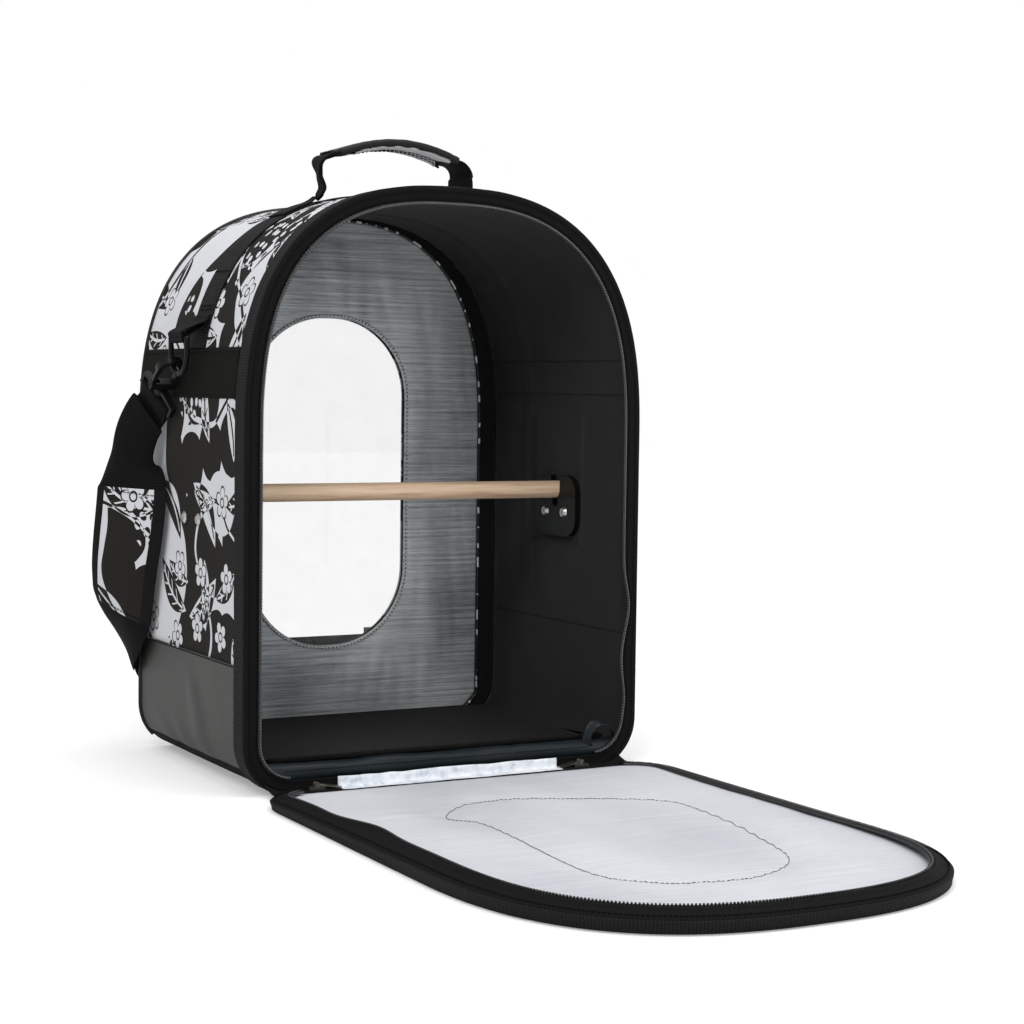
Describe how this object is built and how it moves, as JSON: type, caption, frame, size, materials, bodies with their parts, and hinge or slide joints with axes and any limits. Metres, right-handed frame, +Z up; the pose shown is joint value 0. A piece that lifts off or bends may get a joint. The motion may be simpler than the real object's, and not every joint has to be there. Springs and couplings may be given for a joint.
{
  "type": "bird travel carrier",
  "caption": "Soft-sided arched bird carrier with a fold-down zip door, back window, lift-out perch, tilting handle and a padded shoulder strap on swivel hooks.",
  "frame": {"origin": "middle of the cabin's underside, on the floor", "axes": "+X to the right when facing the open front, +Y to the back, +Z up"},
  "size_m": [0.4529, 0.8187, 0.5515],
  "materials": {
    "print_cloth": "printed polyester",
    "vinyl": "soft sheen",
    "board": "hidden stiffener",
    "tray": "matte",
    "dark_lining": "matte",
    "silver_lining": "coated, satin",
    "ribbed_webbing": "woven, matte",
    "zip_cloth": "woven, matte",
    "zip_teeth": "satin",
    "piping": "satin",
    "film": "clear vinyl",
    "black_plastic": "satin",
    "grip_vinyl": "grained, satin",
    "nylon": "shiny nylon",
    "mat_cloth": "matte",
    "perch_wood": "raw, sanded",
    "nickel": "nickel plated",
    "gunmetal": "satin",
    "pad_cloth": "printed polyester over foam"
  },
  "bodies": {
    "cabin": {"print_cover": "print_cloth", "vinyl_boot": "vinyl", "wall_board": "board", "base_tray": "tray", "wall_lining": "dark_lining", "front_binding": "ribbed_webbing", "body_zip_tape": "zip_cloth", "body_zip_coil": "zip_teeth", "rear_piping": "piping", "back_cover": "print_cloth", "back_boot": "vinyl", "back_board": "board", "back_lining": "silver_lining", "back_seam_binding": "dark_lining", "window_film": "film", "window_binding": "ribbed_webbing", "side_band_left": "ribbed_webbing", "side_band_right": "ribbed_webbing", "top_webbing": "ribbed_webbing", "ring_tab_left": "ribbed_webbing", "ring_tab_right": "ribbed_webbing", "floor_liner": "nylon", "pull_loop": "nylon", "perch_bracket_left": "black_plastic", "perch_bracket_right": "black_plastic", "perch_screws": "nickel", "perch_nuts": "nickel", "fold_strip": "silver_lining", "fold_flaps": "ribbed_webbing", "zip_sliders": "gunmetal"},
    "door": {"door_cover": "print_cloth", "door_board": "board", "door_lining": "silver_lining", "door_binding": "ribbed_webbing", "door_zip_tape": "zip_cloth", "door_zip_coil": "zip_teeth"},
    "handle": {"handle_webbing": "ribbed_webbing", "handle_grip": "grip_vinyl"},
    "perch": {"perch": "perch_wood"},
    "mat": {"floor_mat": "mat_cloth"},
    "ring_left": {"d_ring_left": "black_plastic"},
    "ring_right": {"d_ring_right": "black_plastic"},
    "pull_left": {"pull_tab_left": "gunmetal"},
    "pull_right": {"pull_tab_right": "gunmetal"},
    "shoulder_strap": {"strap_left": "ribbed_webbing", "strap_back": "ribbed_webbing", "strap_right": "ribbed_webbing", "shoulder_pad": "pad_cloth", "swivel_eye_left": "black_plastic", "swivel_eye_right": "black_plastic"},
    "adjuster": {"strap_adjuster": "black_plastic"},
    "hook_left": {"snap_hook_left": "black_plastic"},
    "hook_right": {"snap_hook_right": "black_plastic"},
    "gate_left": {"hook_gate_left": "black_plastic"},
    "gate_right": {"hook_gate_right": "black_plastic"}
  },
  "joints": [
    {"name": "door_hinge", "type": "hinge", "parent": "cabin", "child": "door", "pos_m": [0, -0.158, 0.0018], "axis": [-1, 0, 0], "range_deg": [0, 90]},
    {"name": "handle_tilt", "type": "hinge", "parent": "cabin", "child": "handle", "pos_m": [0, -0.006, 0.51455], "axis": [1, 0, 0], "range_deg": [-30, 30], "stiffness_Nm_per_rad": 0.3},
    {"name": "perch_lift", "type": "slide", "parent": "cabin", "child": "perch", "axis": [0, 0, 1], "range_m": [0, 0.03]},
    {"name": "mat_lift", "type": "slide", "parent": "cabin", "child": "mat", "axis": [0, 0, 1], "range_m": [0, 0.12]},
    {"name": "ring_left_swing", "type": "hinge", "parent": "cabin", "child": "ring_left", "pos_m": [-0.1975, -0.006, 0.372], "axis": [0, 1, 0], "range_deg": [0, 6]},
    {"name": "ring_right_swing", "type": "hinge", "parent": "cabin", "child": "ring_right", "pos_m": [0.1975, -0.006, 0.372], "axis": [0, -1, 0], "range_deg": [0, 6]},
    {"name": "strap_swing", "type": "hinge", "parent": "cabin", "child": "shoulder_strap", "pos_m": [0, -0.006, 0.362], "axis": [1, 0, 0], "range_deg": [0, 35]},
    {"name": "adjuster_slide", "type": "slide", "parent": "shoulder_strap", "child": "adjuster", "axis": [1, 0, 0], "range_m": [-0.04, 0.04]},
    {"name": "hook_left_turn", "type": "hinge", "parent": "shoulder_strap", "child": "hook_left", "pos_m": [-0.1989, 0.02568, 0.33725], "axis": [0, -0.788, 0.6157], "range_deg": [-10, 10]},
    {"name": "hook_right_turn", "type": "hinge", "parent": "shoulder_strap", "child": "hook_right", "pos_m": [0.1989, 0.02568, 0.33725], "axis": [0, -0.788, 0.6157], "range_deg": [-10, 10]},
    {"name": "gate_left_open", "type": "hinge", "parent": "hook_left", "child": "gate_left", "pos_m": [-0.20815, 0.02962, 0.33417], "axis": [0, 0.6157, 0.788], "range_deg": [0, 25], "stiffness_Nm_per_rad": 0.02, "springref_deg": -5.73},
    {"name": "gate_right_open", "type": "hinge", "parent": "hook_right", "child": "gate_right", "pos_m": [0.20815, 0.02962, 0.33417], "axis": [0, -0.6157, -0.788], "range_deg": [0, 25], "stiffness_Nm_per_rad": 0.02, "springref_deg": -5.73},
    {"name": "pull_left_lift", "type": "hinge", "parent": "cabin", "child": "pull_left", "pos_m": [-0.1255, -0.1385, 0.0081], "axis": [0, -1, 0], "range_deg": [0, 110]},
    {"name": "pull_right_lift", "type": "hinge", "parent": "cabin", "child": "pull_right", "pos_m": [0.1255, -0.1385, 0.0081], "axis": [0, 1, 0], "range_deg": [0, 110]}
  ]
}
